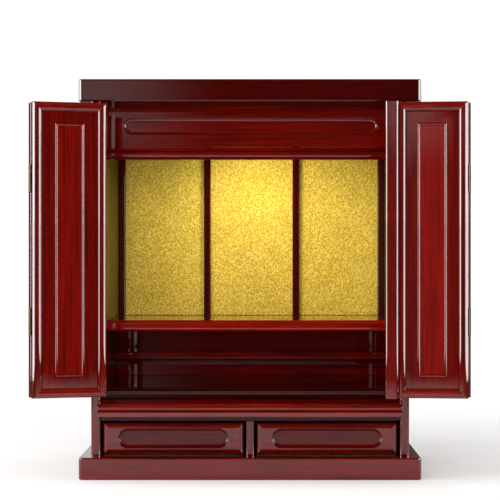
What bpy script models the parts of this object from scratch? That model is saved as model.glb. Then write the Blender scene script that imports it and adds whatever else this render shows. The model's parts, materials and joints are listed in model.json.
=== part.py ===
"""Tabletop household altar cabinet with two pairs of folding doors, a pull-out board and two drawers.

Metres, +Z up, the front faces -Y. The origin is the middle of the plinth's underside.
The doors stand open and the pull-out board stands part of the way out.
"""

import math

import bmesh
import bpy

# Gaps between pieces
FIT = 0.0003
SLIDE_GAP = 0.0005

# Body
BODY_WIDTH = 0.347
BODY_DEPTH = 0.200
BODY_HEIGHT = 0.3842
SIDE_THICKNESS = 0.0104
SIDE_ARRIS = 0.003
BACK_THICKNESS = 0.0055
BACK_INSET = 0.0012

# Plinth and top board
PLINTH_HEIGHT = 0.024
TOP_THICKNESS = 0.0242
BOARD_SIDE_OVERHANG = 0.0115
BOARD_FRONT_OVERHANG = 0.018
BOARD_BACK_OVERHANG = 0.002
BOARD_CORNER = 0.0045
BOARD_ARRIS = 0.0018

# Drawers and their bay
BAY_HEIGHT = 0.0377
PARTITION_THICKNESS = 0.0087
DRAWER_SIDE_GAP = 0.0029
DRAWER_HEIGHT_GAP = 0.0020
DRAWER_FRONT_THICKNESS = 0.012
DRAWER_FRONT_ROUND = 0.0042
DRAWER_LENGTH = 0.172
DRAWER_WALL = 0.005
DRAWER_BOTTOM = 0.003
DRAWER_WALL_HEIGHT = 0.030
DRAWER_RUN_GAP = 0.0006
FINGER_RECESS_LENGTH = 0.1195
FINGER_RECESS_HEIGHT = 0.0205
FINGER_RECESS_DEPTH = 0.0039
FINGER_RECESS_COVE = 0.0032

# Rail, pull-out board and deck, from the bottom up
RAIL_THICKNESS = 0.0084
TRAY_THICKNESS = 0.0137
TRAY_LENGTH = 0.178
TRAY_SIDE_GAP = 0.0007
TRAY_PULL = 0.042
TRAY_FASCIA_HEIGHT = 0.0052
TRAY_FASCIA_LEDGE = 0.0009
TRAY_QUIRK = 0.0010
DECK_THICKNESS = 0.0120
DECK_SETBACK = 0.015
DECK_BEAD = 0.0026
DECK_GROOVE = 0.0009

# Shelf, ledge and lower back panel
SHELF_OVER_DECK = 0.0600
SHELF_THICKNESS = 0.0128
SHELF_SETBACK = 0.047
SHELF_ARRIS = 0.0042
LINING_BOARD = 0.003
LEDGE_OVER_DECK = 0.0208
LEDGE_THICKNESS = 0.0096
LEDGE_PROJECTION = 0.033
LEDGE_ARRIS = 0.0022

# Header and lintel
HEADER_SETBACK = 0.043
HEADER_HEIGHT = 0.0447
HEADER_THICKNESS = 0.009
HEADER_GROOVE_LENGTH = 0.2834
HEADER_GROOVE_HEIGHT = 0.0180
HEADER_GROOVE_DEPTH = 0.0034
HEADER_GROOVE_COVE = 0.0032
HEADER_GROOVE_OVER_LINTEL = 0.0231
LINTEL_HEIGHT = 0.0144
LINTEL_PROJECTION = 0.0028
LINTEL_FILLET = 0.0014

# Gold lining and posts
SIDE_LINING = 0.0015
POST_WIDTH = 0.0082
POST_DEPTH = 0.010
POST_ARRIS = 0.0016
GOLD_FIELDS = 3

# Doors
LEAF_THICKNESS = 0.012
MAIN_LEAF_WIDTH = 0.0818
LEAF_GAP = 0.0008
DOOR_TOP_GAP = 0.0042
DOOR_DECK_LAP = 0.0050
FRAME_WIDTH = 0.0105
FRAME_OUTER_ROUND = 0.0042
FRAME_INNER_ROUND = 0.0038
FIELD_SINK = 0.0042
PANEL_BACK_SINK = 0.0015
BEAD_RECTANGLE_WIDTH = 0.0315
BEAD_END_MARGIN = 0.0115
BEAD_WIDTH = 0.0030
BEAD_RISE = 0.0013
MAIN_OPEN_DEG = 155.0
LEFT_FOLD_OPEN_DEG = 169.5
RIGHT_FOLD_OPEN_DEG = 161.0

# Meeting strip on the right folding leaf
STRIP_WIDTH = 0.014
STRIP_THICKNESS = 0.0045
STRIP_CORE_WIDTH = 0.0034
STRIP_ARRIS = 0.0030
STRIP_FACE_GAP = 0.0004

# Hinges
HINGE_LENGTH = 0.0288
HINGE_END_INSET = 0.0807
HINGE_PIN_OFFSET = 0.0020
KNUCKLE_RADIUS = 0.0016
KNUCKLE_GAP = 0.0003
KNUCKLE_COUNT = 3
HINGE_PLATE_WIDTH = 0.0085
HINGE_PLATE_THICKNESS = 0.0007
KNUCKLE_SIDES = 14

# How finely round stretches are faceted, and where shading stays smooth
ARC_STEPS = 4
STADIUM_STEPS = 12
CUTTER_OVERSHOOT = 0.001
SMOOTH_BELOW_DEG = 30

# Plain colours of the four materials, linear
LACQUER_COLOUR = (0.13, 0.018, 0.016)
PLAIN_WOOD_COLOUR = (0.45, 0.28, 0.16)
GOLD_COLOUR = (0.62, 0.42, 0.09)
BRASS_COLOUR = (0.30, 0.20, 0.07)

# Places worked out from the sizes above
FRONT_Y = -(BODY_DEPTH + BOARD_FRONT_OVERHANG + BOARD_BACK_OVERHANG) / 2 + BOARD_FRONT_OVERHANG
BACK_Y = FRONT_Y + BODY_DEPTH
INNER_HALF = BODY_WIDTH / 2 - SIDE_THICKNESS
BODY_TOP = PLINTH_HEIGHT + BODY_HEIGHT
BACK_BOARD_Y = BACK_Y - BACK_INSET - BACK_THICKNESS
LINING_Y = BACK_BOARD_Y - FIT - LINING_BOARD
RAIL_Z = PLINTH_HEIGHT + BAY_HEIGHT
TRAY_Z = RAIL_Z + RAIL_THICKNESS + SLIDE_GAP
DECK_Z = TRAY_Z + TRAY_THICKNESS + SLIDE_GAP
DECK_TOP = DECK_Z + DECK_THICKNESS
SHELF_Z = DECK_TOP + SHELF_OVER_DECK
SHELF_TOP = SHELF_Z + SHELF_THICKNESS
HEADER_Z = BODY_TOP - HEADER_HEIGHT
LINTEL_Z = HEADER_Z - LINTEL_HEIGHT
HEADER_Y = FRONT_Y + HEADER_SETBACK
DOOR_Z = DECK_TOP - DOOR_DECK_LAP
DOOR_HEIGHT = BODY_TOP - DOOR_TOP_GAP - DOOR_Z
LEAF_BACK_Y = FRONT_Y + LEAF_THICKNESS
GOLD_HALF = INNER_HALF - SIDE_LINING - 2 * FIT

LEFT = -1
RIGHT = 1


def clear_scene():
    for old in list(bpy.data.objects):
        bpy.data.objects.remove(old, do_unlink=True)


def make_material(name, colour, roughness, metallic=0.0):
    material = bpy.data.materials.new(name)
    material.use_nodes = True
    shader = material.node_tree.nodes["Principled BSDF"]
    shader.inputs["Base Color"].default_value = (*colour, 1.0)
    shader.inputs["Roughness"].default_value = roughness
    shader.inputs["Metallic"].default_value = metallic
    material.diffuse_color = (*colour, 1.0)
    return material


def arc(centre, radius, start_deg, end_deg, steps=ARC_STEPS):
    """Points along a round stretch, in a plane's own two directions."""
    points = []
    for step in range(steps + 1):
        angle = math.radians(start_deg + (end_deg - start_deg) * step / steps)
        across = centre[0] + radius * math.cos(angle)
        along = centre[1] + radius * math.sin(angle)
        points.append((across, along))
    return points


def lofted(name, loops, material, parent=None):
    """A closed solid through loops of equal count, with a flat cap at both ends."""
    bm = bmesh.new()
    rows = [[bm.verts.new(point) for point in loop] for loop in loops]
    for lower, upper in zip(rows, rows[1:]):
        for k in range(len(lower)):
            after = (k + 1) % len(lower)
            bm.faces.new((lower[k], lower[after], upper[after], upper[k]))
    bm.faces.new(rows[0])
    bm.faces.new(rows[-1])
    return finished(name, bm, material, parent)


def ring(name, loops, material, parent=None):
    """A closed frame whose last loop joins its first one."""
    bm = bmesh.new()
    rows = [[bm.verts.new(point) for point in loop] for loop in loops]
    for lower, upper in zip(rows, rows[1:] + rows[:1]):
        for k in range(len(lower)):
            after = (k + 1) % len(lower)
            bm.faces.new((lower[k], lower[after], upper[after], upper[k]))
    return finished(name, bm, material, parent)


def finished(name, bm, material, parent):
    bmesh.ops.recalc_face_normals(bm, faces=bm.faces)
    mesh = bpy.data.meshes.new(name)
    bm.to_mesh(mesh)
    bm.free()
    mesh.shade_smooth()
    mesh.set_sharp_from_angle(angle=math.radians(SMOOTH_BELOW_DEG))
    mesh.materials.append(material)
    obj = bpy.data.objects.new(name, mesh)
    bpy.context.scene.collection.objects.link(obj)
    obj.parent = parent
    return obj


def along_x(profile, start, end):
    """Two loops of a (y, z) profile, for a strip that runs across the cabinet."""
    return [[(x, y, z) for y, z in profile] for x in (start, end)]


def along_z(profile, start, end):
    """Two loops of an (x, y) profile, for an upright."""
    return [[(x, y, z) for x, y in profile] for z in (start, end)]


def box(name, low, high, material, parent=None):
    profile = [(low[0], low[1]), (high[0], low[1]), (high[0], high[1]), (low[0], high[1])]
    return lofted(name, along_z(profile, low[2], high[2]), material, parent)


def cut(target, cutter):
    """Takes the cutter's shape out of the target."""
    cutter.hide_render = True
    cutter.display_type = "WIRE"
    modifier = target.modifiers.new(cutter.name, "BOOLEAN")
    modifier.operation = "DIFFERENCE"
    modifier.solver = "EXACT"
    modifier.object = cutter


def join(target, addition):
    """Adds a shape to the target as one body."""
    addition.hide_render = True
    addition.display_type = "WIRE"
    modifier = target.modifiers.new(addition.name, "BOOLEAN")
    modifier.operation = "UNION"
    modifier.solver = "EXACT"
    modifier.object = addition


def rounded_plan(half_width, front, back, radius):
    """Plan outline of a board with four round corners."""
    outline = []
    outline += arc((half_width - radius, front + radius), radius, -90, 0)
    outline += arc((half_width - radius, back - radius), radius, 0, 90)
    outline += arc((radius - half_width, back - radius), radius, 90, 180)
    outline += arc((radius - half_width, front + radius), radius, 180, 270)
    return outline


def rounded_board(name, z_low, z_high, material):
    """A board wider than the body, with round corners and soft edges above and below."""
    loops = []
    half = BODY_WIDTH / 2 + BOARD_SIDE_OVERHANG
    front = FRONT_Y - BOARD_FRONT_OVERHANG
    back = BACK_Y + BOARD_BACK_OVERHANG
    lower = arc((0, z_low + BOARD_ARRIS), BOARD_ARRIS, 270, 360, 3)
    upper = arc((0, z_high - BOARD_ARRIS), BOARD_ARRIS, 0, 90, 3)
    for reach, z in lower + upper:
        inset = BOARD_ARRIS - reach
        plan = rounded_plan(half - inset, front + inset, back - inset, BOARD_CORNER - inset)
        loops.append([(x, y, z) for x, y in plan])
    return lofted(name, loops, material)


def side_panel(name, side, material):
    """A side board whose two front edges are round."""
    inner = INNER_HALF
    outer = BODY_WIDTH / 2
    profile = [(inner, BACK_Y), (inner, FRONT_Y + SIDE_ARRIS)]
    profile += arc((inner + SIDE_ARRIS, FRONT_Y + SIDE_ARRIS), SIDE_ARRIS, 180, 270)[1:]
    profile += arc((outer - SIDE_ARRIS, FRONT_Y + SIDE_ARRIS), SIDE_ARRIS, 270, 360)
    profile.append((outer, BACK_Y))
    profile = [(side * x, y) for x, y in profile]
    return lofted(name, along_z(profile, PLINTH_HEIGHT + FIT, BODY_TOP - FIT), material)


def stadium(length, height, inset, y, centre):
    """A round-ended outline in an upright plane at y, drawn in by inset."""
    radius = height / 2 - inset
    reach = (length - height) / 2
    outline = arc((centre[0] + reach, centre[1]), radius, -90, 90, STADIUM_STEPS)
    outline += arc((centre[0] - reach, centre[1]), radius, 90, 270, STADIUM_STEPS)
    return [(x, y, z) for x, z in outline]


def cove_cutter(name, length, height, depth, cove, face_y, centre, material, parent=None):
    """The space of a round-ended recess whose walls curve into its floor."""
    loops = [stadium(length, height, 0, face_y - CUTTER_OVERSHOOT, centre)]
    for reach, down in arc((0, depth - cove), cove, 0, 90):
        loops.append(stadium(length, height, cove - reach, face_y + down, centre))
    return lofted(name, loops, material, parent)


def front_rounded(front, back, low, high, radius):
    """A (y, z) profile of a board with two round front edges."""
    profile = [(back, low)]
    profile += arc((front + radius, low + radius), radius, 270, 180)
    profile += arc((front + radius, high - radius), radius, 180, 90)
    profile.append((back, high))
    return profile


def make_body(lacquer):
    rounded_board("plinth_board", 0.0, PLINTH_HEIGHT, lacquer)
    rounded_board("top_board", BODY_TOP, BODY_TOP + TOP_THICKNESS, lacquer)
    panels = {
        LEFT: side_panel("left_side_panel", LEFT, lacquer),
        RIGHT: side_panel("right_side_panel", RIGHT, lacquer),
    }
    inner = INNER_HALF - FIT
    box(
        "back_board",
        (-inner, BACK_BOARD_Y, PLINTH_HEIGHT + FIT),
        (inner, BACK_Y - BACK_INSET, BODY_TOP - FIT),
        lacquer,
    )
    return panels


def make_bay(lacquer):
    inner = INNER_HALF - FIT
    back = BACK_BOARD_Y - FIT
    half = PARTITION_THICKNESS / 2
    arris = PARTITION_THICKNESS / 4
    profile = [(half, back), (-half, back)]
    profile += arc((arris - half, FRONT_Y + arris), arris, 180, 270)
    profile += arc((half - arris, FRONT_Y + arris), arris, 270, 360)
    lofted(
        "drawer_partition",
        along_z(profile, PLINTH_HEIGHT + FIT, RAIL_Z - FIT),
        lacquer,
    )
    box("tray_rail", (-inner, FRONT_Y, RAIL_Z), (inner, back, RAIL_Z + RAIL_THICKNESS), lacquer)


def make_deck(lacquer):
    """The altar floor: a small bead along its front edge, then a groove and a flat face."""
    inner = INNER_HALF - FIT
    front = FRONT_Y + DECK_SETBACK
    radius = DECK_BEAD / 2
    bead_z = DECK_TOP - radius
    profile = [(BACK_BOARD_Y - FIT, DECK_Z), (front, DECK_Z)]
    profile.append((front, DECK_TOP - DECK_BEAD - DECK_GROOVE))
    profile.append((front + DECK_GROOVE, DECK_TOP - DECK_BEAD))
    profile += arc((front + radius, bead_z), radius, 210, 90)
    profile.append((BACK_BOARD_Y - FIT, DECK_TOP))
    lofted("deck", along_x(profile, -inner, inner), lacquer)


def make_shelf(lacquer):
    inner = INNER_HALF - FIT
    front = FRONT_Y + SHELF_SETBACK
    profile = front_rounded(front, BACK_BOARD_Y - FIT, SHELF_Z, SHELF_TOP, SHELF_ARRIS)
    lofted("upper_shelf", along_x(profile, -inner, inner), lacquer)
    box(
        "lower_back_panel",
        (-inner, LINING_Y, DECK_TOP + FIT),
        (inner, BACK_BOARD_Y - FIT, SHELF_Z - FIT),
        lacquer,
    )
    low = DECK_TOP + LEDGE_OVER_DECK
    high = low + LEDGE_THICKNESS
    profile = front_rounded(LINING_Y - LEDGE_PROJECTION, LINING_Y - FIT, low, high, LEDGE_ARRIS)
    lofted("low_ledge", along_x(profile, -inner, inner), lacquer)


def make_header(lacquer):
    inner = INNER_HALF - FIT
    header = box(
        "header_panel",
        (-inner, HEADER_Y, HEADER_Z),
        (inner, HEADER_Y + HEADER_THICKNESS, BODY_TOP - FIT),
        lacquer,
    )
    groove = cove_cutter(
        "header_groove",
        HEADER_GROOVE_LENGTH,
        HEADER_GROOVE_HEIGHT,
        HEADER_GROOVE_DEPTH,
        HEADER_GROOVE_COVE,
        HEADER_Y,
        (0.0, HEADER_Z + HEADER_GROOVE_OVER_LINTEL),
        lacquer,
    )
    cut(header, groove)
    front = HEADER_Y - LINTEL_PROJECTION
    back = HEADER_Y + HEADER_THICKNESS
    high = HEADER_Z - FIT
    round_low = LINTEL_Z + LINTEL_FILLET
    round_radius = (LINTEL_HEIGHT - LINTEL_FILLET) / 3
    cove_low = round_low + 2 * round_radius
    profile = [(back, LINTEL_Z), (front, LINTEL_Z), (front, round_low)]
    profile += arc((front + round_radius, round_low + round_radius), round_radius, 250, 110, 6)
    profile.append((front + LINTEL_PROJECTION, cove_low))
    profile.append((front + LINTEL_PROJECTION, high - 2 * LINTEL_FILLET))
    profile.append((front + LINTEL_FILLET, high - LINTEL_FILLET))
    profile.append((front + LINTEL_FILLET, high))
    profile.append((back, high))
    lofted("lintel_moulding", along_x(profile, -inner, inner), lacquer)


def post(name, centre_x, lacquer):
    half = POST_WIDTH / 2
    back = LINING_Y - FIT
    front = back - POST_DEPTH
    profile = [(centre_x + half, back), (centre_x - half, back)]
    profile += arc((centre_x - half + POST_ARRIS, front + POST_ARRIS), POST_ARRIS, 180, 270, 2)
    profile += arc((centre_x + half - POST_ARRIS, front + POST_ARRIS), POST_ARRIS, 270, 360, 2)
    lofted(name, along_z(profile, SHELF_TOP + FIT, BODY_TOP - FIT), lacquer)


def make_gold(gold, lacquer):
    low = SHELF_TOP + FIT
    high = BODY_TOP - FIT
    inner = INNER_HALF - FIT
    box(
        "gold_back_panel",
        (-inner, LINING_Y, low),
        (inner, BACK_BOARD_Y - FIT, high),
        gold,
    )
    lining_front = HEADER_Y + HEADER_THICKNESS + FIT
    for side, word in ((LEFT, "left"), (RIGHT, "right")):
        ends = sorted((side * inner, side * (inner - SIDE_LINING)))
        box(
            word + "_gold_lining",
            (ends[0], lining_front, low),
            (ends[1], LINING_Y - FIT, high),
            gold,
        )
    field = 2 * GOLD_HALF / GOLD_FIELDS
    for number in range(1, GOLD_FIELDS):
        post(f"middle_post_{number}", number * field - GOLD_HALF, lacquer)
    corner = GOLD_HALF - POST_WIDTH / 2
    post("left_corner_post", -corner, lacquer)
    post("right_corner_post", corner, lacquer)


def make_empty(name, place, turn_deg, parent=None):
    empty = bpy.data.objects.new(name, None)
    bpy.context.scene.collection.objects.link(empty)
    empty.parent = parent
    empty.location = place
    empty.rotation_euler = (0.0, 0.0, math.radians(turn_deg))
    return empty


def make_tray(lacquer):
    """The pull-out board: a round upper moulding over a flat fascia along its front."""
    slide = make_empty("tray_slide", (0.0, FRONT_Y - TRAY_PULL, TRAY_Z), 0.0)
    half = INNER_HALF - TRAY_SIDE_GAP
    fascia_top = TRAY_FASCIA_HEIGHT
    radius = (TRAY_THICKNESS - fascia_top) / 2
    middle = fascia_top + radius
    profile = [(TRAY_LENGTH, 0.0), (0.0, 0.0), (0.0, fascia_top)]
    profile.append((TRAY_FASCIA_LEDGE + TRAY_QUIRK, fascia_top))
    profile += arc((TRAY_FASCIA_LEDGE + radius, middle), radius, 245, 90, 7)
    profile.append((TRAY_LENGTH, TRAY_THICKNESS))
    lofted("pull_out_tray", along_x(profile, -half, half), lacquer, slide)


def rectangle(centre_x, width, low, high, y):
    left = centre_x - width / 2
    right = centre_x + width / 2
    return [(left, y, low), (right, y, low), (right, y, high), (left, y, high)]


def make_drawer(word, side, lacquer, inside):
    """A drawer: a round-edged front over the ends of an open box of four boards."""
    bay_inner = PARTITION_THICKNESS / 2
    centre_x = side * (bay_inner + INNER_HALF) / 2
    width = INNER_HALF - bay_inner - 2 * DRAWER_SIDE_GAP
    low = PLINTH_HEIGHT + DRAWER_HEIGHT_GAP
    high = RAIL_Z - DRAWER_HEIGHT_GAP
    slide = make_empty(word + "_drawer_slide", (centre_x, FRONT_Y, low), 0.0)
    height = high - low
    radius = DRAWER_FRONT_ROUND
    loops = [rectangle(0, width, 0, height, DRAWER_FRONT_THICKNESS)]
    for reach, forward in arc((0, 0), radius, 0, 90):
        inset = radius - reach
        y = radius - forward
        loops.append(rectangle(0, width - 2 * inset, inset, height - inset, y))
    front = lofted(word + "_drawer_front", loops, lacquer, slide)
    recess = cove_cutter(
        word + "_finger_recess",
        FINGER_RECESS_LENGTH,
        FINGER_RECESS_HEIGHT,
        FINGER_RECESS_DEPTH,
        FINGER_RECESS_COVE,
        0.0,
        (0.0, height / 2),
        lacquer,
        slide,
    )
    cut(front, recess)
    half = width / 2
    floor = DRAWER_RUN_GAP - DRAWER_HEIGHT_GAP
    box_front = DRAWER_FRONT_THICKNESS + FIT
    box_top = floor + DRAWER_WALL_HEIGHT
    for end, where in ((LEFT, "left"), (RIGHT, "right")):
        walls = sorted((end * half, end * (half - DRAWER_WALL)))
        box(
            f"{word}_drawer_{where}_wall",
            (walls[0], box_front, floor),
            (walls[1], DRAWER_LENGTH, box_top),
            inside,
            slide,
        )
    between = half - DRAWER_WALL - FIT
    box(
        word + "_drawer_back",
        (-between, DRAWER_LENGTH - DRAWER_WALL, floor),
        (between, DRAWER_LENGTH, box_top),
        inside,
        slide,
    )
    box(
        word + "_drawer_bottom",
        (-between, box_front, floor),
        (between, DRAWER_LENGTH - DRAWER_WALL - FIT, floor + DRAWER_BOTTOM),
        inside,
        slide,
    )


def make_leaf(name, near, far, pin, parent, lacquer):
    """A door leaf between two X values, drawn closed and placed from its hinge pin.

    Its frame is a mitred moulding; its panel carries a rectangle of half-round bead.
    """
    centre_x = (near + far) / 2 - pin[0]
    width = abs(far - near)
    back = LEAF_BACK_Y - pin[1]
    face = FRONT_Y - pin[1]
    low = DOOR_Z
    high = DOOR_Z + DOOR_HEIGHT
    field = face + FIELD_SINK

    def frame_loop(inset, y):
        return rectangle(centre_x, width - 2 * inset, low + inset, high - inset, y)

    outer = FRAME_OUTER_ROUND
    inner = FRAME_INNER_ROUND
    loops = [frame_loop(0, back), frame_loop(0, face + outer)]
    for reach, forward in arc((0, 0), outer, 0, 90)[1:]:
        loops.append(frame_loop(outer - reach, face + outer - forward))
    for reach, forward in arc((0, 0), inner, 90, 0):
        loops.append(frame_loop(FRAME_WIDTH - inner + reach, face + inner - forward))
    loops.append(frame_loop(FRAME_WIDTH, back))
    frame = ring(name + "_frame", loops, lacquer, parent)

    def panel_loop(half_width, margin, y):
        return rectangle(centre_x, 2 * half_width, low + margin, high - margin, y)

    edge = FRAME_WIDTH + FIT
    panel_half = width / 2 - edge
    bead_half = BEAD_RECTANGLE_WIDTH / 2
    bead_margin = FRAME_WIDTH + BEAD_END_MARGIN
    loops = [panel_loop(panel_half, edge, back - PANEL_BACK_SINK)]
    loops.append(panel_loop(panel_half, edge, field))
    for reach, forward in arc((0, 0), 1.0, 180, 0, 6):
        inset = BEAD_WIDTH * (1 + reach) / 2
        y = field - BEAD_RISE * forward
        loops.append(panel_loop(bead_half - inset, bead_margin + inset, y))
    lofted(name + "_panel", loops, lacquer, parent)
    return frame


def knuckle_span(index):
    """Bottom and top of one knuckle, measured from the hinge's lower end."""
    pitch = HINGE_LENGTH / KNUCKLE_COUNT
    low = index * pitch + (KNUCKLE_GAP / 2 if index else 0.0)
    high = (index + 1) * pitch - (KNUCKLE_GAP / 2 if index < KNUCKLE_COUNT - 1 else 0.0)
    return low, high


def knuckle(name, low, high, brass, parent):
    outline = []
    for k in range(KNUCKLE_SIDES):
        angle = 2 * math.pi * k / KNUCKLE_SIDES
        outline.append((KNUCKLE_RADIUS * math.cos(angle), KNUCKLE_RADIUS * math.sin(angle)))
    return lofted(name, along_z(outline, low, high), brass, parent)


def hinge_half(name, knuckles, low_z, plate_side, plate_dir, brass, parent, origin=(0.0, 0.0)):
    """One half of a butt hinge about an upright pin.

    plate_side is +1 or -1 along X, from the pin to the piece that carries the plate.
    plate_dir is +1 or -1 along Y, from the pin into that piece.
    """
    near_x = plate_side * LEAF_GAP / 2
    far_x = near_x + plate_side * HINGE_PLATE_THICKNESS
    xs = sorted((near_x, far_x))
    face_y = plate_dir * HINGE_PIN_OFFSET
    ys = sorted((face_y, face_y + plate_dir * HINGE_PLATE_WIDTH))
    holder = make_empty(name + "_pin", (origin[0], origin[1], 0.0), 0.0, parent)
    plate = box(
        name,
        (xs[0], ys[0], low_z),
        (xs[1], ys[1], low_z + HINGE_LENGTH),
        brass,
        holder,
    )
    for index in knuckles:
        low, high = knuckle_span(index)
        low += low_z
        high += low_z
        tab_ys = sorted((0.0, face_y + plate_dir * HINGE_PLATE_THICKNESS))
        tab = box(
            f"{name}_tab_{index}",
            (xs[0], tab_ys[0], low),
            (xs[1], tab_ys[1], high),
            brass,
            holder,
        )
        join(plate, tab)
        join(plate, knuckle(f"{name}_knuckle_{index}", low, high, brass, holder))
    return plate


def mortise(target, name, plate_side, plate_dir, low_z, parent, lacquer, origin=(0.0, 0.0)):
    """The shallow seat that a hinge plate is let into."""
    near_x = plate_side * (LEAF_GAP / 2 - CUTTER_OVERSHOOT)
    far_x = plate_side * (LEAF_GAP / 2 + HINGE_PLATE_THICKNESS + FIT)
    xs = sorted((origin[0] + near_x, origin[0] + far_x))
    face_y = plate_dir * HINGE_PIN_OFFSET
    end_y = face_y + plate_dir * (HINGE_PLATE_WIDTH + FIT)
    ys = sorted((origin[1] + face_y - plate_dir * CUTTER_OVERSHOOT, origin[1] + end_y))
    seat = box(
        name,
        (xs[0], ys[0], low_z - FIT),
        (xs[1], ys[1], low_z + HINGE_LENGTH + FIT),
        lacquer,
        parent,
    )
    cut(target, seat)


def hinge_levels():
    low = DOOR_Z + HINGE_END_INSET - HINGE_LENGTH / 2
    high = DOOR_Z + DOOR_HEIGHT - HINGE_END_INSET - HINGE_LENGTH / 2
    return (("lower", low), ("upper", high))


def make_doors(word, side, fold_open, panel, lacquer, brass):
    """One side's pair of leaves: the main leaf on the body and the folding leaf on it."""
    main_pin = (side * (INNER_HALF - LEAF_GAP / 2), FRONT_Y - HINGE_PIN_OFFSET)
    main_near = side * (INNER_HALF - LEAF_GAP)
    main_far = main_near - side * MAIN_LEAF_WIDTH
    fold_pin = (main_far - side * LEAF_GAP / 2, LEAF_BACK_Y + HINGE_PIN_OFFSET)
    fold_near = main_far - side * LEAF_GAP
    meeting = STRIP_CORE_WIDTH + FIT if side == RIGHT else 0.0
    fold_far = side * (LEAF_GAP + meeting)
    main = make_empty(word + "_main_hinge", (*main_pin, 0.0), side * MAIN_OPEN_DEG)
    between = (fold_pin[0] - main_pin[0], fold_pin[1] - main_pin[1])
    fold = make_empty(word + "_fold_hinge", (*between, 0.0), -side * fold_open, main)
    main_frame = make_leaf(word + "_main_leaf", main_near, main_far, main_pin, main, lacquer)
    fold_frame = make_leaf(word + "_fold_leaf", fold_near, fold_far, fold_pin, fold, lacquer)
    for level, low in hinge_levels():
        name = f"{word}_{level}"
        hinge_half(name + "_body_hinge", (0, 2), low, side, 1, brass, None, main_pin)
        mortise(panel, name + "_body_seat", side, 1, low, None, lacquer, main_pin)
        hinge_half(name + "_leaf_hinge", (1,), low, -side, 1, brass, main)
        mortise(main_frame, name + "_leaf_seat", -side, 1, low, main, lacquer)
        hinge_half(name + "_fold_hinge_a", (0, 2), low, side, -1, brass, main, between)
        mortise(main_frame, name + "_fold_seat_a", side, -1, low, main, lacquer, between)
        hinge_half(name + "_fold_hinge_b", (1,), low, -side, -1, brass, fold)
        mortise(fold_frame, name + "_fold_seat_b", -side, -1, low, fold, lacquer)
    if side == RIGHT:
        make_meeting_strip(fold_pin, fold, lacquer)


def make_meeting_strip(pin, parent, lacquer):
    """The upright strip that covers the gap between the two folding leaves when shut."""
    half = STRIP_WIDTH / 2
    back = FRONT_Y - STRIP_FACE_GAP
    front = back - STRIP_THICKNESS
    core_back = LEAF_BACK_Y
    core_far = LEAF_GAP + STRIP_CORE_WIDTH
    profile = [(LEAF_GAP, back), (-half, back)]
    profile += arc((STRIP_ARRIS - half, front + STRIP_ARRIS), STRIP_ARRIS, 180, 270)
    profile += arc((half - STRIP_ARRIS, front + STRIP_ARRIS), STRIP_ARRIS, 270, 360)
    profile += [(half, back), (core_far, back), (core_far, core_back), (LEAF_GAP, core_back)]
    profile = [(x - pin[0], y - pin[1]) for x, y in profile]
    loops = along_z(profile, DOOR_Z, DOOR_Z + DOOR_HEIGHT)
    lofted("meeting_strip", loops, lacquer, parent)


def main():
    clear_scene()
    lacquer = make_material("red_brown_lacquered_wood", LACQUER_COLOUR, 0.18)
    inside = make_material("plain_drawer_wood", PLAIN_WOOD_COLOUR, 0.55)
    gold = make_material("gold_leaf_paper", GOLD_COLOUR, 0.42, 0.6)
    brass = make_material("dark_brass", BRASS_COLOUR, 0.35, 1.0)
    panels = make_body(lacquer)
    make_bay(lacquer)
    make_deck(lacquer)
    make_shelf(lacquer)
    make_header(lacquer)
    make_gold(gold, lacquer)
    make_tray(lacquer)
    make_drawer("left", LEFT, lacquer, inside)
    make_drawer("right", RIGHT, lacquer, inside)
    make_doors("left", LEFT, LEFT_FOLD_OPEN_DEG, panels[LEFT], lacquer, brass)
    make_doors("right", RIGHT, RIGHT_FOLD_OPEN_DEG, panels[RIGHT], lacquer, brass)


main()
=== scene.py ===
"""Tabletop household altar cabinet: the finished look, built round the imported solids.

Laid out as an add-on and run as a script. Metres, +Z up, the front faces -Y.
The door leaves are modelled shut and turned to where they rest.
"""

import json
import math

import bmesh
import bpy
from mathutils import Matrix, Vector


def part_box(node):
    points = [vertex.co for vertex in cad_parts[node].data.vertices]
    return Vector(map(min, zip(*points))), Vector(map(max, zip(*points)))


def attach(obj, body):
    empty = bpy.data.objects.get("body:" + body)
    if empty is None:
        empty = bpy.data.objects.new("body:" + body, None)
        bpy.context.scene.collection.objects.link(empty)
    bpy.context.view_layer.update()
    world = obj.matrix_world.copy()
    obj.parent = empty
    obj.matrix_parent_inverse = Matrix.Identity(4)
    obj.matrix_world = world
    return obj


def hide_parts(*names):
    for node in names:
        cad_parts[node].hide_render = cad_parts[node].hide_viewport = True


bl_info = {
    "name": "Household altar cabinet",
    "version": (1, 0, 0),
    "blender": (4, 5, 0),
    "location": "3D View > Sidebar > Altar cabinet",
    "description": "Models and finishes the pieces of a lacquered household altar cabinet",
    "category": "Add Mesh",
}

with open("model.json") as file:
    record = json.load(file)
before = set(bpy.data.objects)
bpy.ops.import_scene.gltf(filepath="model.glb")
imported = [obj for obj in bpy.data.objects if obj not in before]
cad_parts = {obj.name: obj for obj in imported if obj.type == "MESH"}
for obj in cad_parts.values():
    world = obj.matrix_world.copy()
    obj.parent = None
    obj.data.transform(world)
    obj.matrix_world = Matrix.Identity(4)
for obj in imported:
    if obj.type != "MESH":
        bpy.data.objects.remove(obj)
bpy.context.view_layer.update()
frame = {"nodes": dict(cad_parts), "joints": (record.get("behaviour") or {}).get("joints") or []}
JOINTS = {joint["name"]: joint for joint in frame["joints"]}

SIDES = (("left", -1), ("right", 1))

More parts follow.
